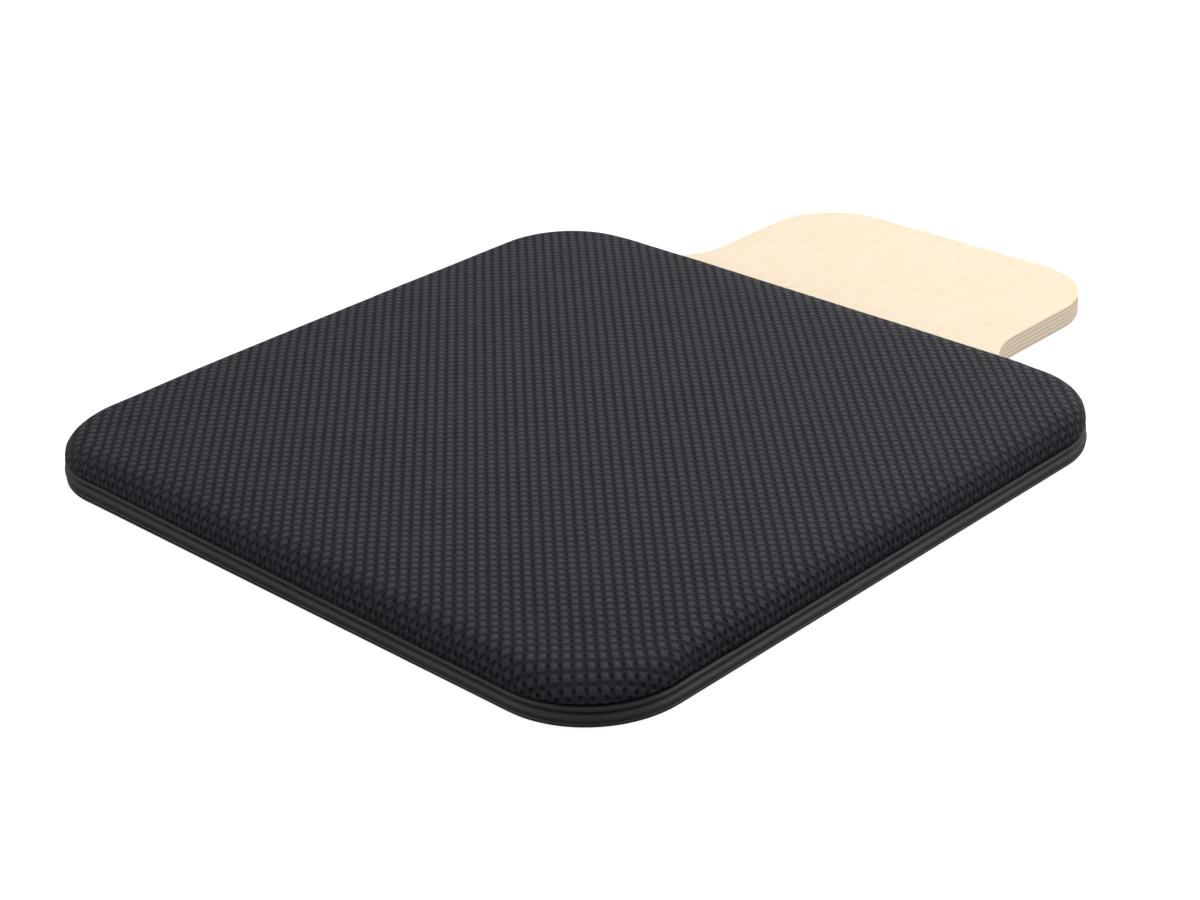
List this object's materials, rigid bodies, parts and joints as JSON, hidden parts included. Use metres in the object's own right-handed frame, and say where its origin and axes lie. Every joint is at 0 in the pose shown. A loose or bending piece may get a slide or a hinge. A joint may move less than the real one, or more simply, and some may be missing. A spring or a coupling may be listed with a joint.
{
  "type": "padded support board",
  "caption": "Square padded leatherette board with rounded corners, a piped border and a bare plywood tongue on one side.",
  "frame": {"origin": "centre of the square pad's underside", "axes": "+Y from the pad to the tongue, +Z out of the padded top, +X across the tongue"},
  "size_m": [0.46, 0.6, 0.032],
  "materials": {
    "birch_plywood": "satin lacquer",
    "foam": "matte",
    "embossed_leatherette": "satin, basket-weave emboss",
    "smooth_leatherette": "satin",
    "base_cloth": "non-woven, matte",
    "tack_card": "matte",
    "welt_cord": "matte",
    "staple_steel": "galvanised"
  },
  "bodies": {
    "root": {"plywood_board": "birch_plywood", "foam_pad": "foam", "top_cover": "embossed_leatherette", "piping_sleeve": "smooth_leatherette", "piping_cord": "welt_cord", "border_strip": "smooth_leatherette", "dust_cover": "base_cloth", "neck_tack_strip": "tack_card", "border_staples": "staple_steel", "dust_cover_staples": "staple_steel", "neck_staples": "staple_steel"}
  },
  "joints": []
}
